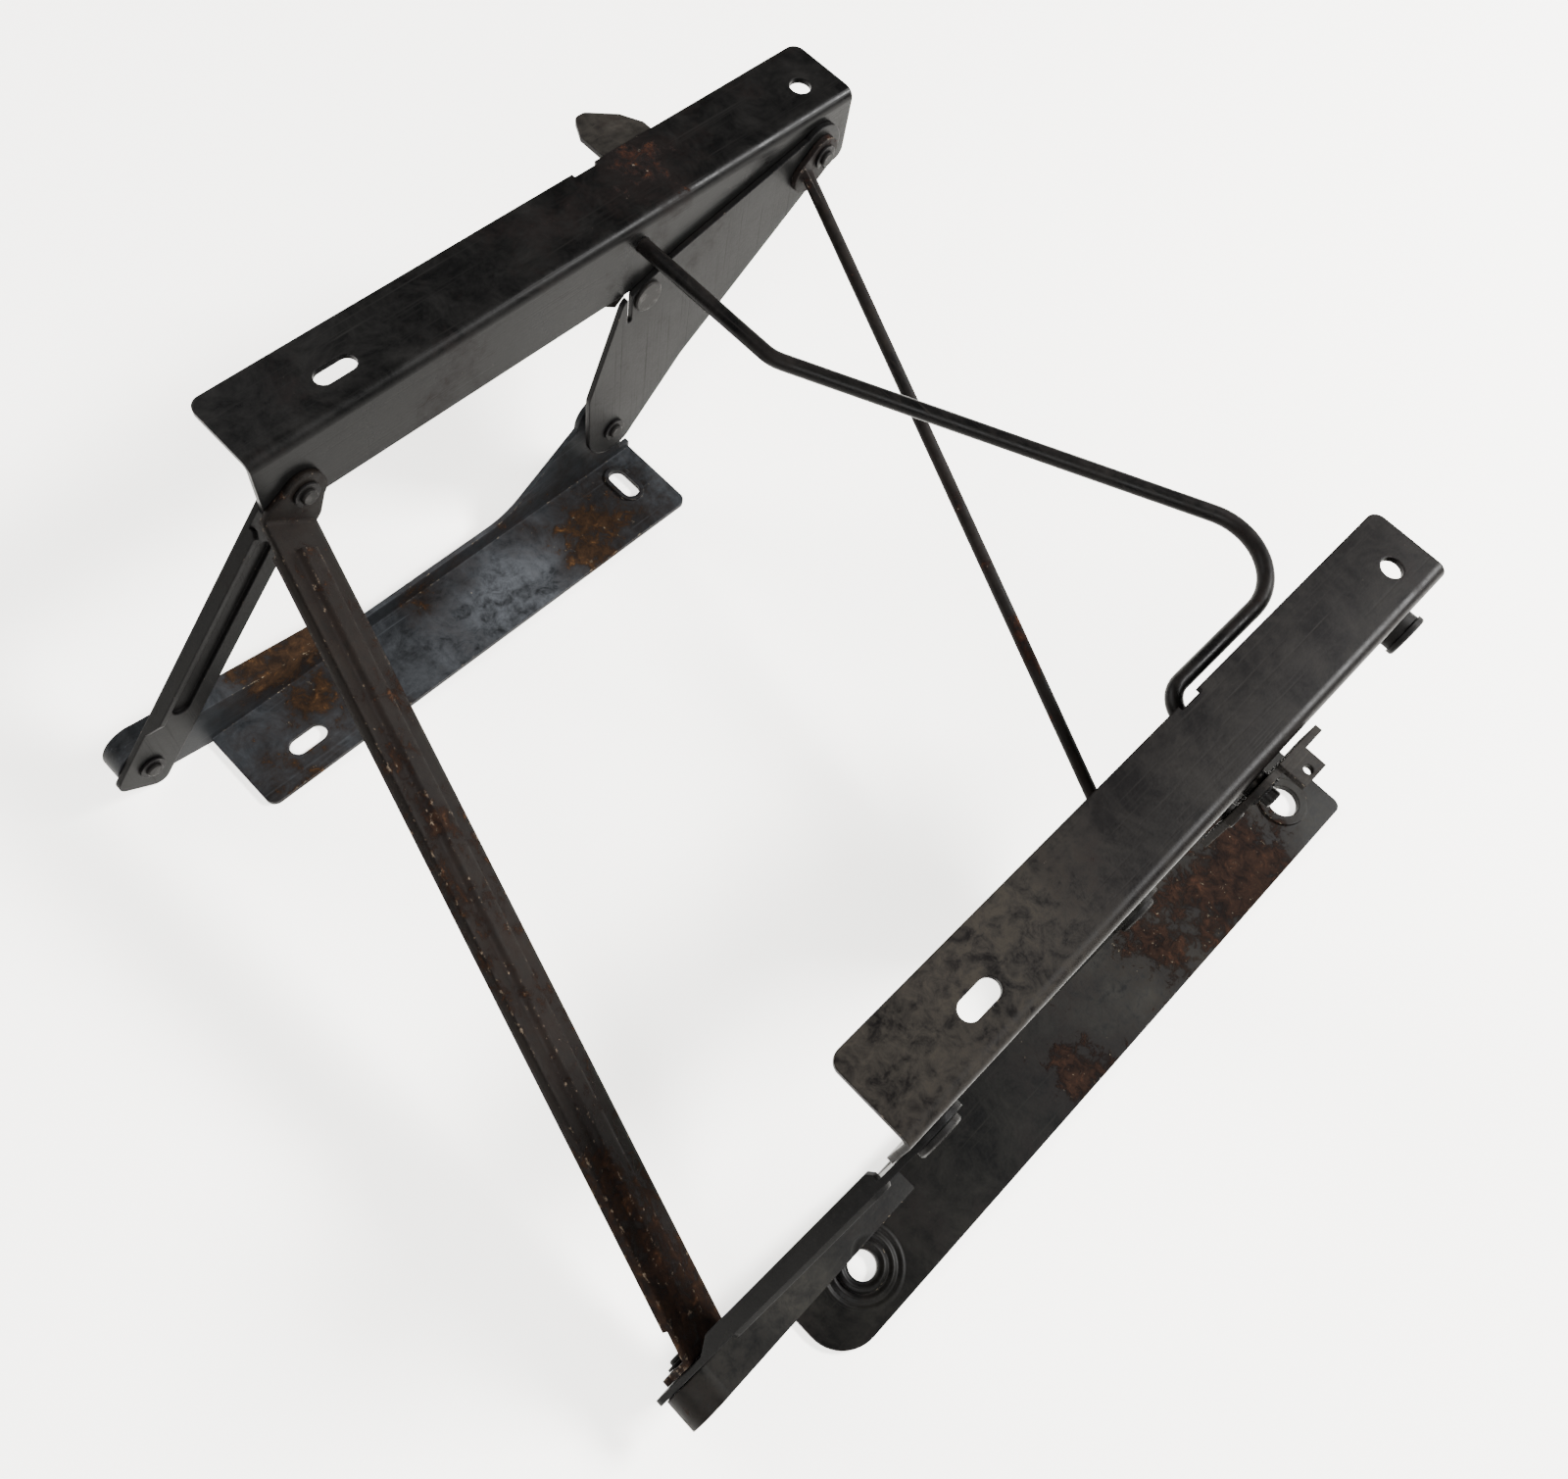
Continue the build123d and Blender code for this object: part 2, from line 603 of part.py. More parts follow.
def rear_cross_brace():
    """Round bar from the left upper rear pivot to the right lower one, its ends hammered flat."""
    link_length = distance(lower_rear, upper_rear)
    along = Vector(0, upper_rear[0] - lower_rear[0], upper_rear[1] - lower_rear[1]) / link_length
    mid_layer = rear_brace_inner + sheet / 2
    top_bend = Vector(-mid_layer, *upper_rear) - along * rear_brace_tab
    low_bend = Vector(mid_layer, *lower_rear) + along * rear_brace_tab
    run = low_bend - top_bend
    width_dir = Vector(0, along.Z, -along.Y)
    with BuildPart() as brace:
        with BuildSketch(Plane(origin=top_bend, x_dir=width_dir, z_dir=run)):
            Circle(rear_bar_radius)
        extrude(amount=run.length)
        # flattened transitions, wide and thin at the bend, round further along
        for origin, direction in ((top_bend, run), (low_bend, run * -1)):
            with BuildSketch(Plane(origin=origin, x_dir=width_dir, z_dir=direction)):
                Rectangle(2 * rear_tab_radius - sheet, sheet)
            far = origin + direction.normalized() * flat_length
            with BuildSketch(Plane(origin=far, x_dir=width_dir, z_dir=direction)):
                Rectangle(rear_bar_radius, rear_bar_radius)
            loft()
        split(bisect_by=Plane.YZ.offset(-mid_layer - sheet / 2), keep=Keep.TOP)
        split(bisect_by=Plane.YZ.offset(mid_layer + sheet / 2), keep=Keep.BOTTOM)
        for bend, side, pivot in ((top_bend, LEFT, upper_rear), (low_bend, RIGHT, lower_rear)):
            towards = 1 if side == LEFT else -1
            low = low_x(side, rear_brace_inner, sheet)
            with BuildSketch(Plane(origin=(low, bend.Y, bend.Z), x_dir=along * towards, z_dir=(1, 0, 0))):
                with Locations((rear_brace_tab / 2, 0)):
                    Rectangle(rear_brace_tab, 2 * rear_tab_radius)
                with Locations((rear_brace_tab, 0), (0, 0)):
                    Circle(rear_tab_radius)
            extrude(amount=sheet)
            hole = pin_radius if side == LEFT else pin_radius + running_gap
            with BuildSketch(plate_plane(side, rear_brace_inner, sheet)):
                with Locations(pivot):
                    Circle(hole)
            extrude(amount=sheet, mode=Mode.SUBTRACT)
    return brace.part


# ---------------------------------------------------------------- release rod and hooks
def release_rod():
    """One bent rod: straight through both rails, with a crank between them as a pull handle."""
    height = rod_axis[1]
    rod_end = lever_outer + washer_thickness + rod_overhang
    with BuildPart() as rod:
        with BuildLine() as centreline:
            Polyline(
                (-rod_end, rod_axis[0], height),
                (crank_start, rod_axis[0], height),
                (crank_end, rod_axis[0] + crank_rise, height),
                (crank_end, rod_axis[0], height),
                (rod_end, rod_axis[0], height),
            )
            for corner, radius in (
                ((crank_start, rod_axis[0], height), crank_start_bend),
                ((crank_end, rod_axis[0] + crank_rise, height), crank_far_bend),
                ((crank_end, rod_axis[0], height), crank_end_bend),
            ):
                fillet(centreline.vertices().sort_by_distance(corner)[0], radius=radius)
        with BuildSketch(Plane(origin=(-rod_end, rod_axis[0], height), x_dir=(0, 1, 0), z_dir=(1, 0, 0))):
            Circle(rod_radius)
        sweep(path=centreline.line)
        ends = rod.edges().filter_by(GeomType.CIRCLE).group_by(Axis.X)
        chamfer(ends[0] + ends[-1], length=edge_break)
    return rod.part


def latch_lever(side):
    """Hook plate on the rod's end. The left one has a finger tongue, the right one a tab for a cable."""
    turn = radians(hook_release_angle)
    low = low_x(side, lever_inner, lever_sheet)
    engaged = Plane(origin=(low, *rod_axis), x_dir=(0, cos(turn), sin(turn)), z_dir=(1, 0, 0))
    catch = (stud[0] - rod_axis[0], stud[1] - rod_axis[1])
    hook_inner = catch[0] + stud_radius + hook_gap
    hook_outer = hook_inner + hook_width
    tip_top = catch[1] - stud_radius - hook_gap
    tip_low = tip_top - hook_width
    tip_front = catch[0] - hook_reach
    arm_end = tongue_rear if side == LEFT else cable_arm_rear
    arm_top = flange_under - stop_gap
    arm_low = rod_axis[1] - lever_arm_drop
    with BuildPart() as lever:
        with BuildSketch(engaged) as hook:
            with BuildLine():
                Polyline(
                    (-lever_hub_radius, 0),
                    (lever_hub_radius, 0),
                    (hook_outer, catch[1] + stud_radius),
                    (hook_outer, tip_low),
                    (tip_front, tip_low),
                    (tip_front, tip_top),
                    (hook_inner, tip_top),
                    (hook_inner, catch[1] + 2 * stud_radius),
                    (-lever_hub_radius / 2, -lever_hub_radius),
                    close=True,
                )
            make_face()
            outer_low = hook.vertices().sort_by_distance((hook_outer, tip_low))[0]
            fillet(outer_low, radius=hook_heel)
            tip = hook.vertices().sort_by_distance((tip_front, tip_low))[0]
            fillet(tip, radius=hook_nose)
            Circle(lever_hub_radius)
        extrude(amount=lever_sheet)
        with BuildSketch(plate_plane(side, lever_inner, lever_sheet)):
            with BuildLine():
                Polyline(
                    (rod_axis[0], arm_low),
                    (rod_axis[0] + arm_end, arm_low + lever_arm_drop / 2),
                    (rod_axis[0] + arm_end, arm_top),
                    (rod_axis[0] + lever_hub_radius, arm_top),
                    (rod_axis[0], rod_axis[1] + lever_shoulder),
                    close=True,
                )
            make_face()
            # front prong, which stands ahead of the stud
            prong_rear = stud[0] - stud_radius - fork_gap
            with BuildLine():
                Polyline(
                    (rod_axis[0], rod_axis[1] + lever_hub_radius / 2),
                    (rod_axis[0] - lever_hub_radius, rod_axis[1]),
                    (prong_rear - fork_width, rod_axis[1] - lever_hub_radius),
                    (prong_rear - fork_width, stud[1] - stud_radius),
                    (prong_rear - fork_width / 2, stud[1] - 2 * stud_radius),
                    (prong_rear, stud[1] - stud_radius),
                    (prong_rear, stud[1] + 2 * stud_radius),
                    (rod_axis[0], rod_axis[1] - lever_hub_radius / 2),
                    close=True,
                )
            make_face()
        extrude(amount=lever_sheet)
        with BuildSketch(Plane.XY.offset(arm_top)) as tab:
            if side == LEFT:
                with BuildLine():
                    Polyline(
                        (-lever_inner, rod_axis[0] + tongue_front),
                        (-tongue_edge + lever_hub_radius, rod_axis[0] + tongue_front),
                        (-tongue_edge, rod_axis[0] + tongue_front + tongue_taper / 2),
                        (-tongue_edge, rod_axis[0] + tongue_front + tongue_taper),
                        (-tongue_edge + lever_hub_radius, rod_axis[0] + tongue_rear - tongue_taper / 2),
                        (-tongue_edge + 2 * lever_hub_radius, rod_axis[0] + tongue_rear),
                        (-lever_inner, rod_axis[0] + tongue_rear),
                        close=True,
                    )
                make_face()
                fillet(tab.vertices().group_by(Axis.X)[0], radius=tongue_taper / 3)
            else:
                with Locations((lever_inner, rod_axis[0] + cable_tab_front)):
                    Rectangle(cable_tab_reach, cable_tab_width, align=(Align.MIN, Align.MIN))
                hole_x = lever_inner + cable_tab_reach - cable_hole_inset
                with Locations((hole_x, rod_axis[0] + cable_tab_front + cable_tab_width / 2)):
                    Circle(cable_hole_radius, mode=Mode.SUBTRACT)
        extrude(amount=-sheet)
        with BuildSketch(plate_plane(side, lever_inner, lever_sheet)):
            with Locations(rod_axis):
                Circle(rod_radius)
        extrude(amount=lever_sheet, mode=Mode.SUBTRACT)
    return lever.part


def lever_spacer(side):
    """Collar that holds the lever off the rail's web."""
    start = web_outer + side_float
    with BuildPart() as collar:
        with BuildSketch(plate_plane(side, start, 0)):
            with Locations(rod_axis):
                Circle(spacer_radius)
                Circle(rod_radius, mode=Mode.SUBTRACT)
        extrude(amount=side * (lever_inner - start))
    return collar.part


def rod_washer(side):
    """Toothed push-on washer at the end of the rod."""
    with BuildPart() as washer:
        with BuildSketch(plate_plane(side, lever_outer, 0)):
            with Locations(rod_axis):
                Circle(washer_radius)
                with PolarLocations(washer_radius, washer_teeth):
                    Circle(washer_tooth, mode=Mode.SUBTRACT)
                Circle(rod_radius, mode=Mode.SUBTRACT)
        extrude(amount=side * washer_thickness)
    return washer.part


# ---------------------------------------------------------------- build and export
save(front_cross_brace(), "front_cross_brace", RUST)
save(rear_cross_brace(), "rear_cross_brace", PAINT)
save(release_rod(), "release_rod", STEEL)

for side_name, side in SIDES.items():
    save(upper_bracket(side), f"upper_bracket_{side_name}", PAINT)
    save(lower_bracket(side), f"lower_bracket_{side_name}", PAINT)
    save(front_link(side), f"front_link_{side_name}", PAINT)
    save(rear_link(side), f"rear_link_{side_name}", PAINT)
    save(catch_stud(side), f"catch_stud_{side_name}", STEEL)
    save(latch_lever(side), f"latch_lever_{side_name}", PAINT)
    save(lever_spacer(side), f"lever_spacer_{side_name}", STEEL)
    save(rod_washer(side), f"rod_washer_{side_name}", STEEL)
    save(rear_spacer(side), f"rear_pivot_spacer_{side_name}", STEEL)

    # each pin: where it stands, the inboard side of its head, and the inboard side of the last plate on it
    upper_front_last = front_brace_inner[LEFT] if side == LEFT else web_inner
    lower_front_last = front_brace_inner[RIGHT] if side == RIGHT else front_link_inner
    upper_rear_last = rear_brace_inner if side == LEFT else rear_link_inner
    lower_rear_last = rear_brace_inner if side == RIGHT else rear_link_inner
    pins = {
        "upper_front": (upper_front, front_link_inner + sheet + side_float, upper_front_last, 0.0),
        "lower_front": (lower_front, lower_web_outer, lower_front_last, 0.0),
        "upper_rear": (
            upper_rear, web_outer + side_float + head_collar_length, upper_rear_last, head_collar_length
        ),
        "lower_rear": (lower_rear, lower_web_outer, lower_rear_last, 0.0),
    }
    for pin_name, (pivot, head_inner, last, collar) in pins.items():
        save(hinge_pin(side, pivot, head_inner, last, collar), f"{pin_name}_pin_{side_name}", STEEL)
        save(pin_clip(side, pivot, last, clip_opening), f"{pin_name}_clip_{side_name}", STEEL)
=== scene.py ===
# %% [markdown]
# # A worn tip-forward seat base
# The object is a pressed-steel linkage that once carried a front seat: two angle rails, two floor brackets,
# ribbed front links, triangular rear links, two diagonal braces and a cranked release rod. Its solids come
# ready made, so this lesson is mostly about giving thin black-painted steel its years of use.

# %% Load the solids
import math

import bpy
import numpy as np
from mathutils import Matrix, Vector

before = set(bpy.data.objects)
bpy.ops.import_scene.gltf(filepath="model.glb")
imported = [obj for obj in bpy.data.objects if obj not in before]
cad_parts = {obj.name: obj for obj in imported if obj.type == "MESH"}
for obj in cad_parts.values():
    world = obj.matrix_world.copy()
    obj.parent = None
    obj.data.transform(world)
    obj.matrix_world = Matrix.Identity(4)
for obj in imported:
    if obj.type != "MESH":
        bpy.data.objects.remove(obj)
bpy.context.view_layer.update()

# %% [markdown]
# ## Camera
# The base lies on the floor and is looked down on from over its right front corner, so both rails run away
# to the upper right. A camera can be posed with angles, but three plain facts are easier to reason about:
# where the eye is, the point it looks at, and how far the head is tilted to one side.

# %% Place the camera
EYE = Vector((0.174, -0.2576, 0.6741))
LOOKED_AT = Vector((0.0319, -0.0062, 0.090))
HEAD_TILT = math.radians(17.0)
FOCAL_MM = 32.25
SENSOR_MM = 36.0

forward = (LOOKED_AT - EYE).normalized()
level_right = forward.cross(Vector((0, 0, 1))).normalized()
level_up = level_right.cross(forward)
right = level_right * math.cos(HEAD_TILT) + level_up * math.sin(HEAD_TILT)
up = level_up * math.cos(HEAD_TILT) - level_right * math.sin(HEAD_TILT)
lens = bpy.data.cameras.new("eye")
lens.lens = FOCAL_MM
lens.sensor_width = SENSOR_MM
camera = bpy.data.objects.new("eye", lens)
bpy.context.scene.collection.objects.link(camera)
camera.matrix_world = Matrix((right, up, -forward)).transposed().to_4x4()
camera.location = EYE
bpy.context.scene.camera = camera
print("camera", tuple(round(v, 3) for v in EYE), "focal length", FOCAL_MM)

# %% [markdown]
# ## Nodes and colours
# Every material below is a small network. One function adds a node, sets its properties and feeds its
# sockets, and one function turns a colour written as sRGB hex into the linear numbers a shader works in.


# %% One helper for nodes
def add(tree, kind, feeds=None, **settings):
    """Add a node of one kind, set its properties, and give each named input a number or an output."""
    made = tree.nodes.new(kind)
    for name, value in settings.items():
        setattr(made, name, value)
    for key, value in (feeds or {}).items():
        if isinstance(value, bpy.types.NodeSocket):
            tree.links.new(value, made.inputs[key])
        else:
            made.inputs[key].default_value = value
    return made


# %% One helper for colours
def linear(hex_colour):
    """sRGB hex to linear RGBA: c/12.92 below 0.04045, else ((c + 0.055)/1.055) to the power 2.4."""
    part = np.array([int(hex_colour[i : i + 2], 16) for i in (1, 3, 5)]) / 255
    low, high = part / 12.92, ((part + 0.055) / 1.055) ** 2.4
    return (*np.where(part <= 0.04045, low, high).tolist(), 1.0)


print("a middle grey, #808080, is", round(linear("#808080")[0], 3), "of full white in linear light")

# %% [markdown]
# ## Worn black paint
# Seat hardware is pressed from mild steel, dipped in black enamel and stoved. After decades the enamel is
# still glossy where nothing touched it, hazed with fine dust where things rubbed, nicked to bare steel at
# the edges, and eaten by rust from the damp end. The wear could be painted on by hand, but a painted map
# belongs to one piece. Layers of noise on each solid's own coordinates carry over to all of them, and their
# scale can be given in millimetres. A single recipe makes every coat here, because the real layers are the
# same on every plate and only their amounts differ:
#
# - edges are found by comparing the true normal with one rounded over about a millimetre
# - rust follows chosen places, broken up by coarse and fine noise
# - chips of bright steel sit where the paint is thin, beside the rust
# - handling scratches run along the plate, and haze lies on faces that look up
# - rubbed places are worn to a mottled grey, on the right rail and the left foot partly a painted sheen
#
# The recipe is built up below in short steps, one layer at a time, and put together at the end. Each finish
# also has a seed, which shifts its noises through space, so that no two pieces carry the same marks.

# %% Sizes of the marks, in metres
PATCH = 0.050  # an area that rusts or fades together
CLOUD = 0.026  # a cloud of dust haze
FLAKE = 0.0030  # a flake of rust or paint; real ones are about 1 mm, and these are coarser so that they show
GRAIN = 0.0011  # grit in the enamel, also drawn coarser than the real 0.2 mm
# scratches per metre across and along the plate: about 1.2 mm apart and 70 mm long. Real ones lie a tenth
# of a millimetre apart, too fine to show from here, so they are drawn coarser
SCRATCHES_ACROSS, SCRATCHES_ALONG = 850.0, 14.0
RING_PITCH = 0.0045  # between the rings that a turning washer wore round a hole
RINGS_FADE, RINGS_END = 0.017, 0.021  # radii where those rings start to fade and where they are gone
print("flakes", FLAKE * 1000, "mm, grit", GRAIN * 1000, "mm, patches", PATCH * 1000, "mm")

# %% [markdown]
# ### Places
# Noise alone spreads marks evenly, and real wear never is. A place is a centre, a radius and a strength: a
# soft ball in space that raises a mark inside it. Several balls added up draw any worn area without a map.


# %% Gather a mark in chosen places
def gathered(tree, place, places, start):
    """start + the sum of strength * s(1 - distance / radius), s being smoothstep, over all places."""
    total = start
    for centre, radius, strength in places:
        away = add(
            tree, "ShaderNodeVectorMath", {0: place, 1: centre}, operation="DISTANCE"
        ).outputs["Value"]
        near = add(
            tree,
            "ShaderNodeMapRange",
            {"Value": away, "From Min": radius, "From Max": 0.0, "To Min": 0.0, "To Max": strength},
            interpolation_type="SMOOTHSTEP",
        ).outputs[0]
        total = add(tree, "ShaderNodeMath", {0: total, 1: near}, operation="ADD").outputs[0]
    return total


# %% Four noises that every layer draws on
def noises(tree, shifted):
    """Coarse patches, ragged flakes, rounder specks and grit, as fractal noise at the sizes above."""
    coarse = {"Vector": shifted, "Scale": 1 / PATCH, "Detail": 5.0, "Roughness": 0.6}
    flakes = {
        "Vector": shifted,
        "Scale": 0.45 / FLAKE,
        "Detail": 9.0,
        "Roughness": 0.74,
        "Distortion": 0.5,
    }
    specks = {"Vector": shifted, "Scale": 1 / FLAKE, "Detail": 5.0, "Roughness": 0.7}
    grain = {"Vector": shifted, "Scale": 1 / GRAIN, "Detail": 3.0}
    made = [add(tree, "ShaderNodeTexNoise", feeds) for feeds in (coarse, flakes, specks, grain)]
    return [noise.outputs[0] for noise in made]


# %% [markdown]
# ### Edges and rust
# On a real plate, paint pulls thin on a sheared edge while it dries, so edges go bare first. The Bevel node
# gives a normal rounded over a chosen radius, and where it leans from the true normal there is an edge. Its
# output also shades the sheared edges as slightly rounded, which costs no geometry. Rust is a field that
# crosses a threshold: well above it lies scale, and just below it a brown stain.


# %% Find the edges
def worn_edges(tree, true_normal, soften):
    """The normal rounded over soften metres, and 0 on a flat face to 1 on a sharp edge."""
    rounded = add(tree, "ShaderNodeBevel", {"Radius": soften}, samples=6).outputs[0]
    agreement = add(
        tree, "ShaderNodeVectorMath", {0: rounded, 1: true_normal}, operation="DOT_PRODUCT"
    ).outputs["Value"]
    edge = add(
        tree,
        "ShaderNodeMapRange",
        {"Value": agreement, "From Min": 0.985, "From Max": 0.80, "To Min": 0.0, "To Max": 1.0},
    ).outputs[0]
    return rounded, edge


# %% Lay the rust
def rusted(tree, place, coarse, flakes, rust_places, rust):
    """Scale where 1.5 coarse + 1.1 flakes + places + rust passes its threshold, and stain below that."""
    field = add(
        tree, "ShaderNodeMath", {0: coarse, 1: 1.5, 2: rust - 0.75}, operation="MULTIPLY_ADD"
    ).outputs[0]
    field = gathered(tree, place, rust_places, field)
    field = add(
        tree, "ShaderNodeMath", {0: flakes, 1: 1.1, 2: field}, operation="MULTIPLY_ADD"
    ).outputs[0]
    field = add(tree, "ShaderNodeMath", {0: field, 1: -0.55}, operation="ADD").outputs[0]
    scale = add(
        tree, "ShaderNodeMapRange", {"Value": field, "From Min": 0.42, "From Max": 0.56}
    ).outputs[0]
    stain = add(
        tree,
        "ShaderNodeMapRange",
        {"Value": field, "From Min": 0.10, "From Max": 0.50, "To Min": 0.0, "To Max": 0.75},
    ).outputs[0]
    return scale, stain


# %% [markdown]
# ### Chips, scratches and haze
# A chip goes through the paint to steel, mostly at an edge or where rust already lifts the coat. Scratches
# come from sliding and stay in the coat as fine dull lines. Haze is dust ground into the surface: it lies on
# faces that look up, in clouds, and turns to a mottled grey where boots and straps rubbed for years. In the
# rubbed places of the right rail and the left foot that grey also stands for light: it is a painted sheen.


# %% Chip the edges
def chipped(tree, edge, stain, specks, chips):
    """2 specks + 0.24 edge + 0.22 stain + chips - 1.6, cut off at 0: few flakes, mostly on edges."""
    likely = add(
        tree, "ShaderNodeMath", {0: edge, 1: 0.24, 2: chips - 1.60}, operation="MULTIPLY_ADD"
    ).outputs[0]
    likely = add(
        tree, "ShaderNodeMath", {0: stain, 1: 0.22, 2: likely}, operation="MULTIPLY_ADD"
    ).outputs[0]
    likely = add(
        tree, "ShaderNodeMath", {0: specks, 1: 2.0, 2: likely}, operation="MULTIPLY_ADD"
    ).outputs[0]
    return add(
        tree, "ShaderNodeMapRange", {"Value": likely, "From Min": 0.0, "From Max": 0.14, "To Max": 0.8}
    ).outputs[0]


# %% Scratch along the plate
def scratched(tree, shifted, scratch_axis, amount):
    """Noise drawn out sixty times along one axis and turned a little, so the lines aren't square."""
    stretch = [SCRATCHES_ACROSS] * 3
    stretch[scratch_axis] = SCRATCHES_ALONG
    drawn = add(
        tree, "ShaderNodeMapping", {"Vector": shifted, "Scale": stretch, "Rotation": (0, 0, 0.06)}
    ).outputs[0]
    lines = add(tree, "ShaderNodeTexNoise", {"Vector": drawn, "Scale": 1.0, "Detail": 2.0}).outputs[0]
    return add(
        tree,
        "ShaderNodeMapRange",
        {"Value": lines, "From Min": 0.56, "From Max": 0.76, "To Min": 0.0, "To Max": amount},
    ).outputs[0]


# %% Cloud the haze
def clouded(tree, place, shifted, flakes, rubbed_and_sheen_places, amount):
    """Soft clouds of dust, with a mottle of flakes added inside the rubbed places, partly a painted sheen.
    """
    cloud = add(
        tree,
        "ShaderNodeTexNoise",
        {"Vector": shifted, "Scale": 1 / CLOUD, "Detail": 11.0, "Roughness": 0.80, "Distortion": 0.5},
    ).outputs[0]
    cloud = add(
        tree,
        "ShaderNodeMapRange",
        {"Value": cloud, "From Min": 0.40, "From Max": 0.64, "To Min": 0.0, "To Max": amount},
    ).outputs[0]
    if not rubbed_and_sheen_places:
        return cloud
    # inside the rubbed places this grey mottle is partly wear and partly a painted sheen
    mottle = add(
        tree, "ShaderNodeMapRange", {"Value": flakes, "From Min": 0.38, "From Max": 0.66}
    ).outputs[0]
    rubbed_and_sheen = gathered(tree, place, rubbed_and_sheen_places, 0.0)
    return add(
        tree, "ShaderNodeMath", {0: rubbed_and_sheen, 1: mottle, 2: cloud}, operation="MULTIPLY_ADD"
    ).outputs[0]


# %% Let the haze settle on faces that look up
def settled(tree, true_normal, cloud, scratch):
    """cloud times 0.35 on walls to 1 on level faces, or the scratches where they are stronger."""
    up_part = add(tree, "ShaderNodeSeparateXYZ", {"Vector": true_normal}).outputs["Z"]
    facing_up = add(
        tree,
        "ShaderNodeMapRange",
        {"Value": up_part, "From Min": 0.1, "From Max": 0.9, "To Min": 0.35, "To Max": 1.0},
    ).outputs[0]
    haze_and_sheen = add(tree, "ShaderNodeMath", {0: cloud, 1: facing_up}, operation="MULTIPLY").outputs[0]
    return add(
        tree, "ShaderNodeMath", {0: haze_and_sheen, 1: scratch}, operation="MAXIMUM", use_clamp=True
    ).outputs[0]


# %% [markdown]
# ### Colour, gloss and relief
# With the masks ready, each channel is a stack: paint, then haze, stain, rust scale and bare steel on top.
# Gloss follows the same order, because what is dull on the real plate is the dust and the rust, not the
# enamel under them. Relief is small and only carries what light would catch: scale that stands up, chips
# and scratches that are sunk, and a slow unevenness from the dipping.


# %% Stack the colours
def coloured(tree, marks, flakes, paint, haze_and_sheen, rust_tones, bare):
    """Paint under haze, stain, rust scale in three tones, and bare steel, each mixed in by its mask."""
    coat = add(
        tree,
        "ShaderNodeMix",
        {"Factor": marks["haze_and_sheen"], 6: linear(paint), 7: linear(haze_and_sheen)},
        data_type="RGBA",
    ).outputs[2]
    dark_rust, mid_rust, light_rust = (linear(tone) for tone in rust_tones)
    coat = add(
        tree, "ShaderNodeMix", {"Factor": marks["stain"], 6: coat, 7: dark_rust}, data_type="RGBA"
    ).outputs[2]
    tones = add(tree, "ShaderNodeValToRGB", {"Fac": flakes})
    ramp = tones.color_ramp
    ramp.elements[0].position, ramp.elements[0].color = 0.40, dark_rust
    ramp.elements[1].position, ramp.elements[1].color = 0.78, light_rust
    middle = ramp.elements.new(0.60)
    middle.color = mid_rust
    coat = add(
        tree,
        "ShaderNodeMix",
        {"Factor": marks["scale"], 6: coat, 7: tones.outputs[0]},
        data_type="RGBA",
    ).outputs[2]
    return add(
        tree, "ShaderNodeMix", {"Factor": marks["chip"], 6: coat, 7: linear(bare)}, data_type="RGBA"
    ).outputs[2]


# %% Stack the gloss
STAIN_ROUGHNESS = 0.7
SCALE_ROUGHNESS = 0.93
STEEL_ROUGHNESS = 0.5


def roughened(tree, marks, grain, gloss):
    """Glossy paint, dulled by haze and grit, then dry stain and scale, then half-bright steel."""
    rough = add(
        tree, "ShaderNodeMath", {0: marks["haze_and_sheen"], 1: 0.45, 2: gloss}, operation="MULTIPLY_ADD"
    ).outputs[0]
    rough = add(
        tree, "ShaderNodeMath", {0: grain, 1: 0.12, 2: rough}, operation="MULTIPLY_ADD"
    ).outputs[0]
    layers = (("stain", STAIN_ROUGHNESS), ("scale", SCALE_ROUGHNESS), ("chip", STEEL_ROUGHNESS))
    for mark, dull in layers:
        rough = add(
            tree, "ShaderNodeMix", {"Factor": marks[mark], 2: rough, 3: dull}, data_type="FLOAT"
        ).outputs[0]
    return rough


# %% Rings round a bolt hole
def ringed(tree, place, hole, relief):
    """relief + a * sin(2 pi r / pitch): shallow rings worn in the coat by a washer turning round a hole."""
    away = add(
        tree, "ShaderNodeVectorMath", {0: place, 1: hole}, operation="DISTANCE"
    ).outputs["Value"]
    wave = add(
        tree, "ShaderNodeMath", {0: away, 1: 2 * math.pi / RING_PITCH}, operation="MULTIPLY"
    ).outputs[0]
    wave = add(tree, "ShaderNodeMath", {0: wave}, operation="SINE").outputs[0]
    within = add(
        tree,
        "ShaderNodeMapRange",
        {"Value": away, "From Min": RINGS_END, "From Max": RINGS_FADE, "To Max": 1.6},
    ).outputs[0]
    return add(
        tree, "ShaderNodeMath", {0: wave, 1: within, 2: relief}, operation="MULTIPLY_ADD"
    ).outputs[0]


# %% Stack the relief
def raised(tree, marks, coarse, flakes, grain):
    """2.2 scale * flakes - 0.3 chip - 0.2 scratch + 0.6 coarse + 0.1 grain, as a height."""
    relief = add(tree, "ShaderNodeMath", {0: marks["scale"], 1: flakes}, operation="MULTIPLY").outputs[0]
    relief = add(
        tree, "ShaderNodeMath", {0: relief, 1: 2.2, 2: 0.0}, operation="MULTIPLY_ADD"
    ).outputs[0]
    shares = ((marks["chip"], -0.3), (marks["scratch"], -0.2), (coarse, 0.6), (grain, 0.10))
    for layer, height in shares:
        relief = add(
            tree, "ShaderNodeMath", {0: layer, 1: height, 2: relief}, operation="MULTIPLY_ADD"
        ).outputs[0]
    return relief


# %% [markdown]
# ### The whole recipe
# The coat keeps the IOR of enamel, 1.5. Its specular level is set low, because old stoved enamel is matted
# by fine dust and mirrors much less of the bright room than fresh paint would, and so it still reads as
# black beside a white floor. Only the chips are partly metal, half of it, since a chip is part steel and
# part primer at this size.

# %% Put the layers together
ENAMEL_IOR = 1.5
MATTED_SPECULAR = 0.05
RELIEF_DEPTH = 0.0005


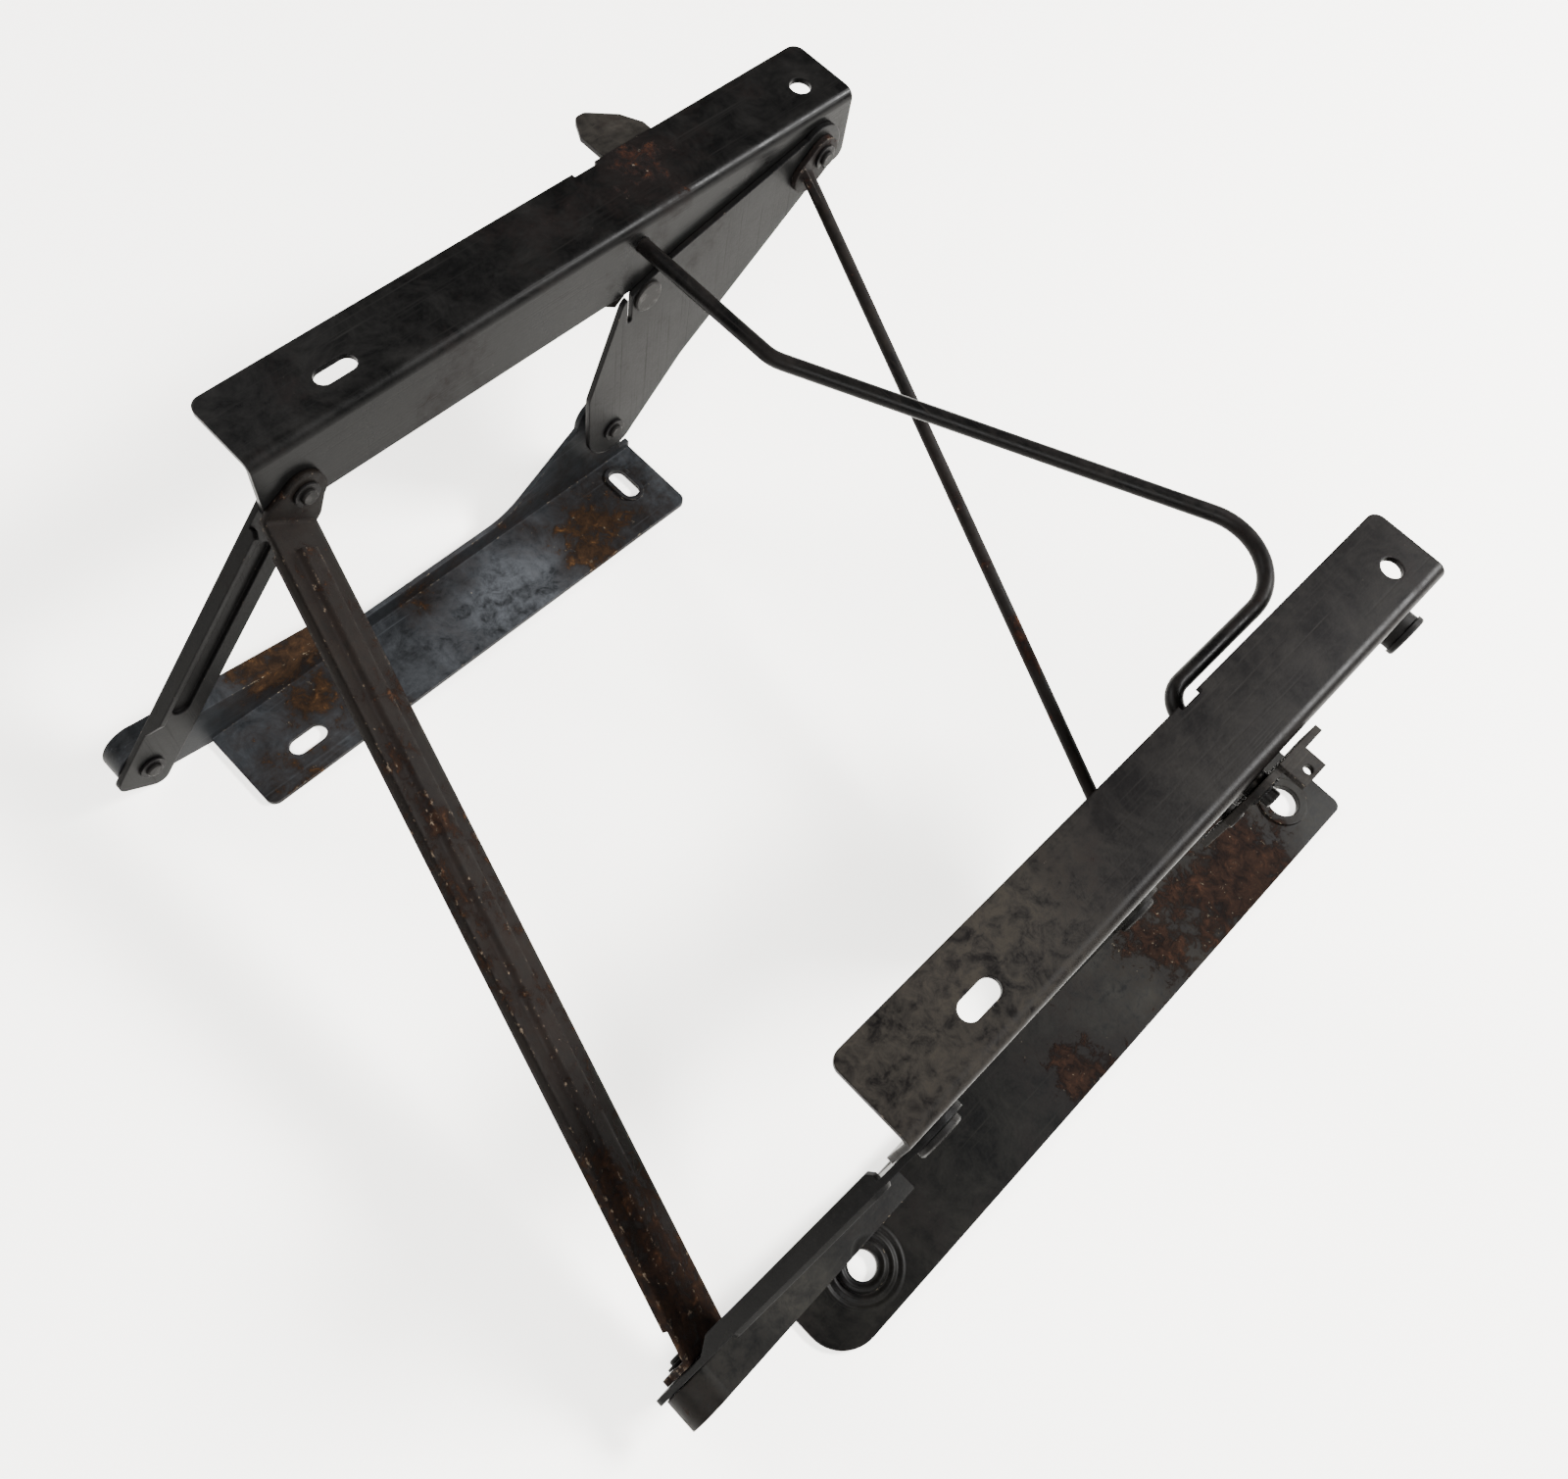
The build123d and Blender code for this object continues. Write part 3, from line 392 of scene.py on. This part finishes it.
def worn_paint(
    name,
    paint="#0B0B0C",
    haze_and_sheen="#2A2825",
    rust_places=(),
    rubbed_and_sheen_places=(),
    rust=0.0,
    chips=0.0,
    haze_amount=0.3,
    gloss=0.30,
    scratch_axis=1,
    rust_tones=("#0C0706", "#20120D", "#452A18"),
    bare="#6E655A",
    soften=0.0011,
    ringed_hole=None,
    seed=0.0,
):
    """Black stoving enamel over mild steel. Places are (centre, radius, strength), in metres."""
    material = bpy.data.materials.new(name)
    material.use_nodes = True
    tree = material.node_tree
    tree.nodes.clear()
    place = add(tree, "ShaderNodeTexCoord").outputs["Object"]
    shift = (seed, 2 * seed, -seed)
    shifted = add(tree, "ShaderNodeMapping", {"Vector": place, "Location": shift}).outputs[0]
    coarse, flakes, specks, grain = noises(tree, shifted)
    true_normal = add(tree, "ShaderNodeNewGeometry").outputs["Normal"]
    rounded, edge = worn_edges(tree, true_normal, soften)

    marks = {"scratch": scratched(tree, shifted, scratch_axis, haze_amount)}
    marks["scale"], marks["stain"] = rusted(tree, place, coarse, flakes, rust_places, rust)
    marks["chip"] = chipped(tree, edge, marks["stain"], specks, chips)
    cloud = clouded(tree, place, shifted, flakes, rubbed_and_sheen_places, haze_amount)
    marks["haze_and_sheen"] = settled(tree, true_normal, cloud, marks["scratch"])

    relief = raised(tree, marks, coarse, flakes, grain)
    if ringed_hole:
        relief = ringed(tree, place, ringed_hole, relief)
    bumps = {"Height": relief, "Strength": 0.6, "Distance": RELIEF_DEPTH, "Normal": rounded}
    channels = {
        "Base Color": coloured(tree, marks, flakes, paint, haze_and_sheen, rust_tones, bare),
        "Roughness": roughened(tree, marks, grain, gloss),
        "Metallic": add(
            tree, "ShaderNodeMath", {0: marks["chip"], 1: 0.5}, operation="MULTIPLY"
        ).outputs[0],
        "Normal": add(tree, "ShaderNodeBump", bumps).outputs[0],
        "IOR": ENAMEL_IOR,
        "Specular IOR Level": MATTED_SPECULAR,
    }
    shader = add(tree, "ShaderNodeBsdfPrincipled", channels)
    add(tree, "ShaderNodeOutputMaterial", {"Surface": shader.outputs[0]})
    print(f"{name}: {len(tree.nodes)} nodes")
    return material


# %% [markdown]
# ## Plain steel
# Pins, clips, washers and studs were zinc plated, not painted, and have gone dull. Plated steel is a metal
# all over, so it keeps the default IOR and gets its look from uneven roughness and dark grease. The grease
# is a skin that isn't metal, so the metal share falls where it lies.

# %% Dull plated steel
BLOTCH = 0.006  # a blotch of old grease on a pin head
TURNED_EDGE = 0.0006  # the radius left on a turned edge
GREASED_SPECULAR = 0.1


def plated_steel(name, bright="#7C766C", grease="#1B1917", dirt=0.6, seed=0.0):
    """Zinc-plated steel dulled with age: bright and greasy tones mixed by noise, with a fine grit."""
    material = bpy.data.materials.new(name)
    material.use_nodes = True
    tree = material.node_tree
    tree.nodes.clear()
    place = add(tree, "ShaderNodeTexCoord").outputs["Object"]
    shift = (seed, seed, seed)
    shifted = add(tree, "ShaderNodeMapping", {"Vector": place, "Location": shift}).outputs[0]
    blotch = add(
        tree,
        "ShaderNodeTexNoise",
        {"Vector": shifted, "Scale": 1 / BLOTCH, "Detail": 7.0, "Roughness": 0.68},
    ).outputs[0]
    grit = add(
        tree, "ShaderNodeTexNoise", {"Vector": shifted, "Scale": 1 / GRAIN, "Detail": 3.0}
    ).outputs[0]
    low, high = 0.60 - 0.3 * dirt, 0.72 - 0.3 * dirt
    dirty = add(
        tree,
        "ShaderNodeMapRange",
        {"Value": blotch, "From Min": low, "From Max": high, "To Min": 0.0, "To Max": 1.0},
    ).outputs[0]
    rounded = add(tree, "ShaderNodeBevel", {"Radius": TURNED_EDGE}, samples=6).outputs[0]
    colour = add(
        tree, "ShaderNodeMix", {"Factor": dirty, 6: linear(bright), 7: linear(grease)}, data_type="RGBA"
    ).outputs[2]
    rough = add(
        tree, "ShaderNodeMath", {0: grit, 1: 0.3, 2: 0.28}, operation="MULTIPLY_ADD"
    ).outputs[0]
    rough = add(
        tree, "ShaderNodeMix", {"Factor": dirty, 2: rough, 3: 0.6}, data_type="FLOAT"
    ).outputs[0]
    metal = add(
        tree, "ShaderNodeMapRange", {"Value": dirty, "To Min": 0.95, "To Max": 0.15}
    ).outputs[0]
    bumps = {"Height": grit, "Strength": 0.35, "Distance": 0.0002, "Normal": rounded}
    channels = {
        "Base Color": colour,
        "Roughness": rough,
        "Metallic": metal,
        "Normal": add(tree, "ShaderNodeBump", bumps).outputs[0],
        "Specular IOR Level": GREASED_SPECULAR,
    }
    shader = add(tree, "ShaderNodeBsdfPrincipled", channels)
    add(tree, "ShaderNodeOutputMaterial", {"Surface": shader.outputs[0]})
    print(f"{name}: {len(tree.nodes)} nodes")
    return material


# %% [markdown]
# ## Seat rails
# Both rails are angle sections in stoved black enamel. Their tops lay under the seat cushion's frame, out
# of the wet, so they rusted least. The left one kept most of its gloss. The right one was rubbed by feet
# getting in and is mottled grey on its front half, and that grey is also a painted sheen of the light from
# above. They could share a finish, but their wear differs too much, so each has its own.

# %% Finish the rails
# deep black and smooth: the eye reads it by the soft light along its bend, with one small brown patch
left_rail_paint = worn_paint(
    "stoved_black_enamel_left_rail",
    paint="#060606",
    haze_and_sheen="#181716",
    rust_places=(((-0.205, 0.118, 0.184), 0.045, 0.38), ((-0.20, 0.06, 0.184), 0.03, 0.25)),
    rust=0.0,
    chips=0.13,
    haze_amount=0.5,
    gloss=0.22,
    seed=0.3,
)
# the same black under a warm grey mottle that is strongest round its front slot, partly smudges and partly
# painted sheen
right_rail_paint = worn_paint(
    "stoved_black_enamel_right_rail",
    paint="#060505",
    haze_and_sheen="#211E1A",
    rust_places=(((0.150, -0.115, 0.184), 0.03, 0.2),),
    # the two rubbed places on the front half paint a sheen of light from above as well as smudges
    rubbed_and_sheen_places=(((0.165, -0.095, 0.184), 0.11, 1.0), ((0.150, -0.030, 0.184), 0.07, 0.8)),
    rust=-0.05,
    chips=0.16,
    haze_amount=0.26,
    gloss=0.3,
    seed=1.7,
)

# %% [markdown]
# ## Floor brackets
# The brackets stood on a car's floor, where water and grit lie. The left foot is scoured to a blue grey in
# its middle with bright rust at both ends, and that blue grey is also a painted sheen of light on the steel.
# The right foot rusted in dark scabs from its rear forwards, and its front hole still shows the rings of
# the washer that was clamped there.

# %% Finish the floor brackets
# a cool worn grey with yellow-brown rust: the lightest of the painted pieces, its blue-grey middle partly a
# painted sheen
left_foot_paint = worn_paint(
    "scoured_enamel_with_painted_sheen_left_floor_bracket",
    paint="#0F1011",
    haze_and_sheen="#383A3D",
    rust_places=(
        ((-0.150, 0.045, 0.003), 0.060, 0.50),
        ((-0.140, -0.165, 0.003), 0.050, 0.40),
        ((-0.190, -0.130, 0.030), 0.060, 0.68),
        ((-0.185, -0.040, 0.014), 0.060, 0.40),
    ),
    # the larger rubbed place, in the middle, paints a blue-grey sheen of light as well as scouring
    rubbed_and_sheen_places=(((-0.150, -0.020, 0.003), 0.09, 0.9), ((-0.175, -0.150, 0.020), 0.05, 0.4)),
    rust=0.04,
    chips=0.13,
    haze_amount=0.45,
    gloss=0.34,
    rust_tones=("#120C08", "#261A10", "#54391F"),
    bare="#7C7260",
    seed=2.9,
)
# near black at the front, with scabs of dark red-brown rust that thicken towards the rear
right_foot_paint = worn_paint(
    "rusted_enamel_right_floor_bracket",
    paint="#030303",
    haze_and_sheen="#302E29",
    rust_places=(
        ((0.235, 0.160, 0.003), 0.075, 0.60),
        ((0.225, 0.090, 0.003), 0.065, 0.50),
        ((0.240, 0.010, 0.003), 0.060, 0.42),
        ((0.245, -0.080, 0.003), 0.060, 0.25),
        ((0.205, -0.225, 0.030), 0.050, 0.35),
    ),
    rubbed_and_sheen_places=(
        ((0.230, 0.130, 0.003), 0.13, 0.9),
        ((0.200, -0.215, 0.030), 0.04, 0.35),
        ((0.205, -0.165, 0.020), 0.035, 0.4),
    ),
    rust=0.02,
    chips=0.13,
    haze_amount=0.14,
    gloss=0.34,
    rust_tones=("#0B0706", "#1C120D", "#382217"),
    bare="#7C7260",
    ringed_hole=(0.2215, -0.130, 0.003),
    seed=4.1,
)

# %% [markdown]
# ## Links, braces, rod and levers
# The links hang free and stayed clean. The front brace is a shallow pressed channel that held water, so its
# whole length went brown, and its pressed corners are softer than sheared ones. The rear bar flaked when
# its ends were hammered flat. The rod and the levers are handled each time the seat tips, which polishes
# the rod and knocks the paint off the levers' corners.

# %% Finish the links and the two braces
# plain satin black with a few fine scratches up and down
link_paint = worn_paint(
    "stoved_black_enamel_links",
    paint="#070707",
    haze_and_sheen="#141312",
    rust=-0.02,
    chips=0.1,
    haze_amount=0.4,
    gloss=0.34,
    scratch_axis=2,
    seed=5.3,
)
# black going to a dry chocolate brown, with soft worn edges
brace_paint = worn_paint(
    "rusted_enamel_front_brace",
    paint="#070605",
    haze_and_sheen="#241B15",
    rust_places=(
        ((0.18, -0.21, 0.04), 0.16, 0.35),
        ((0.0, -0.16, 0.09), 0.10, 0.20),
        ((-0.09, -0.13, 0.12), 0.06, 0.15),
    ),
    rubbed_and_sheen_places=(((-0.11, -0.135, 0.13), 0.07, 0.3), ((0.02, -0.165, 0.085), 0.10, 0.45)),
    rust=0.26,
    chips=0.11,
    haze_amount=0.22,
    gloss=0.40,
    scratch_axis=0,
    rust_tones=("#0A0605", "#190F09", "#402A1A"),
    bare="#6E6152",
    soften=0.003,
    seed=6.1,
)
# dull black, freckled with brown along its whole length
bar_paint = worn_paint(
    "flaking_enamel_rear_bar",
    paint="#0B0A0A",
    haze_and_sheen="#1F1A17",
    rust_places=(((0.02, 0.14, 0.10), 0.20, 0.12),),
    rust=0.2,
    chips=0.13,
    haze_amount=0.6,
    gloss=0.38,
    scratch_axis=0,
    seed=7.7,
)

# %% Finish the rod and the levers
# the glossiest piece: one thin line of light runs along each straight
rod_paint = worn_paint(
    "handled_enamel_release_rod",
    paint="#070707",
    haze_and_sheen="#1C1917",
    rust_places=(((0.14, 0.20, 0.17), 0.08, 0.2),),
    rust=0.03,
    chips=0.12,
    haze_amount=0.5,
    gloss=0.22,
    scratch_axis=0,
    seed=8.3,
)
# greyish black with bright nicks at the corners
lever_paint = worn_paint(
    "chipped_enamel_levers",
    paint="#0F0E0D",
    haze_and_sheen="#2B2824",
    rust=0.08,
    chips=0.17,
    haze_amount=0.6,
    gloss=0.40,
    seed=9.9,
)

# %% [markdown]
# ## Pins, clips and studs
# These are turned or stamped, plated and greased. Under years of grease they are nearly as dark as the
# paint, and only their sharper highlights tell that they are metal.

# %% Finish the bare hardware
# pin heads: dark, with a small highlight that breaks up at the rim
pin_steel = plated_steel("dull_zinc_pins", bright="#161514", grease="#0A0908", dirt=0.8, seed=0.2)
# clips and washers: the darkest, as spring steel is blued
clip_steel = plated_steel("dark_spring_steel_clips", bright="#131211", grease="#080707", dirt=0.85, seed=1.1)
# studs and spacers: a little brighter where the hooks rub
stud_steel = plated_steel("rubbed_steel_studs", bright="#171513", grease="#080706", dirt=0.75, seed=2.2)
print("finishes made:", len(bpy.data.materials))

# %% [markdown]
# ## Which piece has which finish
# Pieces that come in pairs share the start of their name, so a table from the start of a name to a finish
# covers them all. Clips and pins are told apart by a word in the middle, and come last.

# %% Give each solid its finish
FINISHES = {
    "upper_bracket_left": left_rail_paint,
    "upper_bracket_right": right_rail_paint,
    "lower_bracket_left": left_foot_paint,
    "lower_bracket_right": right_foot_paint,
    "front_link": link_paint,
    "rear_link": link_paint,
    "front_cross_brace": brace_paint,
    "rear_cross_brace": bar_paint,
    "release_rod": rod_paint,
    "latch_lever": lever_paint,
    "catch_stud": stud_steel,
    "rear_pivot_spacer": stud_steel,
    "lever_spacer": stud_steel,
    "rod_washer": clip_steel,
}
for node_name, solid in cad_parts.items():
    finish = next((made for start, made in FINISHES.items() if node_name.startswith(start)), None)
    finish = finish or (clip_steel if "_clip_" in node_name else pin_steel)
    for slot in solid.material_slots:
        slot.material = finish
print("pieces finished:", len(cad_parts))

# %% [markdown]
# ## Floor
# A pale sheet of paper, a little warm. Black pieces and a white floor are far apart in brightness, more than
# one set of lamps can serve: light strong enough for a white floor turns the black grey. So the floor also
# glows a little by itself, as a lit sheet on a light table does, and the lamps can stay gentle.

# %% Lay the floor
FLOOR_HALF = 6.0
FLOOR_GLOW = 2.0

floor_material = bpy.data.materials.new("pale_paper_floor")
floor_material.use_nodes = True
paper = floor_material.node_tree.nodes["Principled BSDF"].inputs
paper["Base Color"].default_value = linear("#F1EEE8")
paper["Roughness"].default_value = 0.85
paper["Emission Color"].default_value = linear("#FFFDF8")
paper["Emission Strength"].default_value = FLOOR_GLOW
floor_mesh = bpy.data.meshes.new("floor")
corners = [(-FLOOR_HALF, -FLOOR_HALF, 0), (FLOOR_HALF, -FLOOR_HALF, 0)]
corners += [(FLOOR_HALF, FLOOR_HALF, 0), (-FLOOR_HALF, FLOOR_HALF, 0)]
floor_mesh.from_pydata(corners, [], [(0, 1, 2, 3)])
floor = bpy.data.objects.new("floor", floor_mesh)
floor_mesh.materials.append(floor_material)
bpy.context.scene.collection.objects.link(floor)
print("floor", 2 * FLOOR_HALF, "m across, glow", FLOOR_GLOW)

# %% [markdown]
# ## Lamps
# Thin black metal only reads by what it reflects. A strong lamp stands low at the back right, where the
# bends of both rails can mirror it, and three weak soft lamps fill the sides and the front. All four are
# kept out of the directions that level faces mirror to the eye, so the tops stay black.

# %% Hang the lamps
# each lamp: where it hangs in metres, its width and height in metres, its power in watts
LAMPS = {
    "front_fill": ((0.9, -1.6, 1.9), 1.2, 1.2, 90.0),
    "rear_key": ((1.1, 1.75, 1.75), 0.8, 0.5, 310.0),
    "left_fill": ((-2.2, -0.4, 1.5), 1.4, 1.4, 90.0),
    "right_fill": ((2.2, -0.6, 1.5), 1.4, 1.4, 45.0),
}
LIT_POINT = Vector((0, 0, 0.08))
for lamp_name, (spot, wide, tall, watts) in LAMPS.items():
    lamp_data = bpy.data.lights.new(lamp_name, "AREA")
    lamp_data.shape = "RECTANGLE"
    lamp_data.size, lamp_data.size_y = wide, tall
    lamp_data.energy = watts
    lamp = bpy.data.objects.new(lamp_name, lamp_data)
    bpy.context.scene.collection.objects.link(lamp)
    lamp.location = spot
    lamp.rotation_euler = (LIT_POINT - Vector(spot)).to_track_quat("-Z", "Y").to_euler()
print("lamps:", ", ".join(LAMPS))

# %% [markdown]
# ## The room
# The walls of a real room give a weak even light from all sides. A plain pale world does that, and it is
# kept dim, because every face of the black paint mirrors some of it.

# %% Light the room
ROOM_BRIGHTNESS = 0.12

world = bpy.data.worlds.new("studio")
bpy.context.scene.world = world
world.use_nodes = True
room = world.node_tree.nodes["Background"].inputs
room["Color"].default_value = linear("#F4F3F1")
room["Strength"].default_value = ROOM_BRIGHTNESS
print("room brightness", ROOM_BRIGHTNESS)
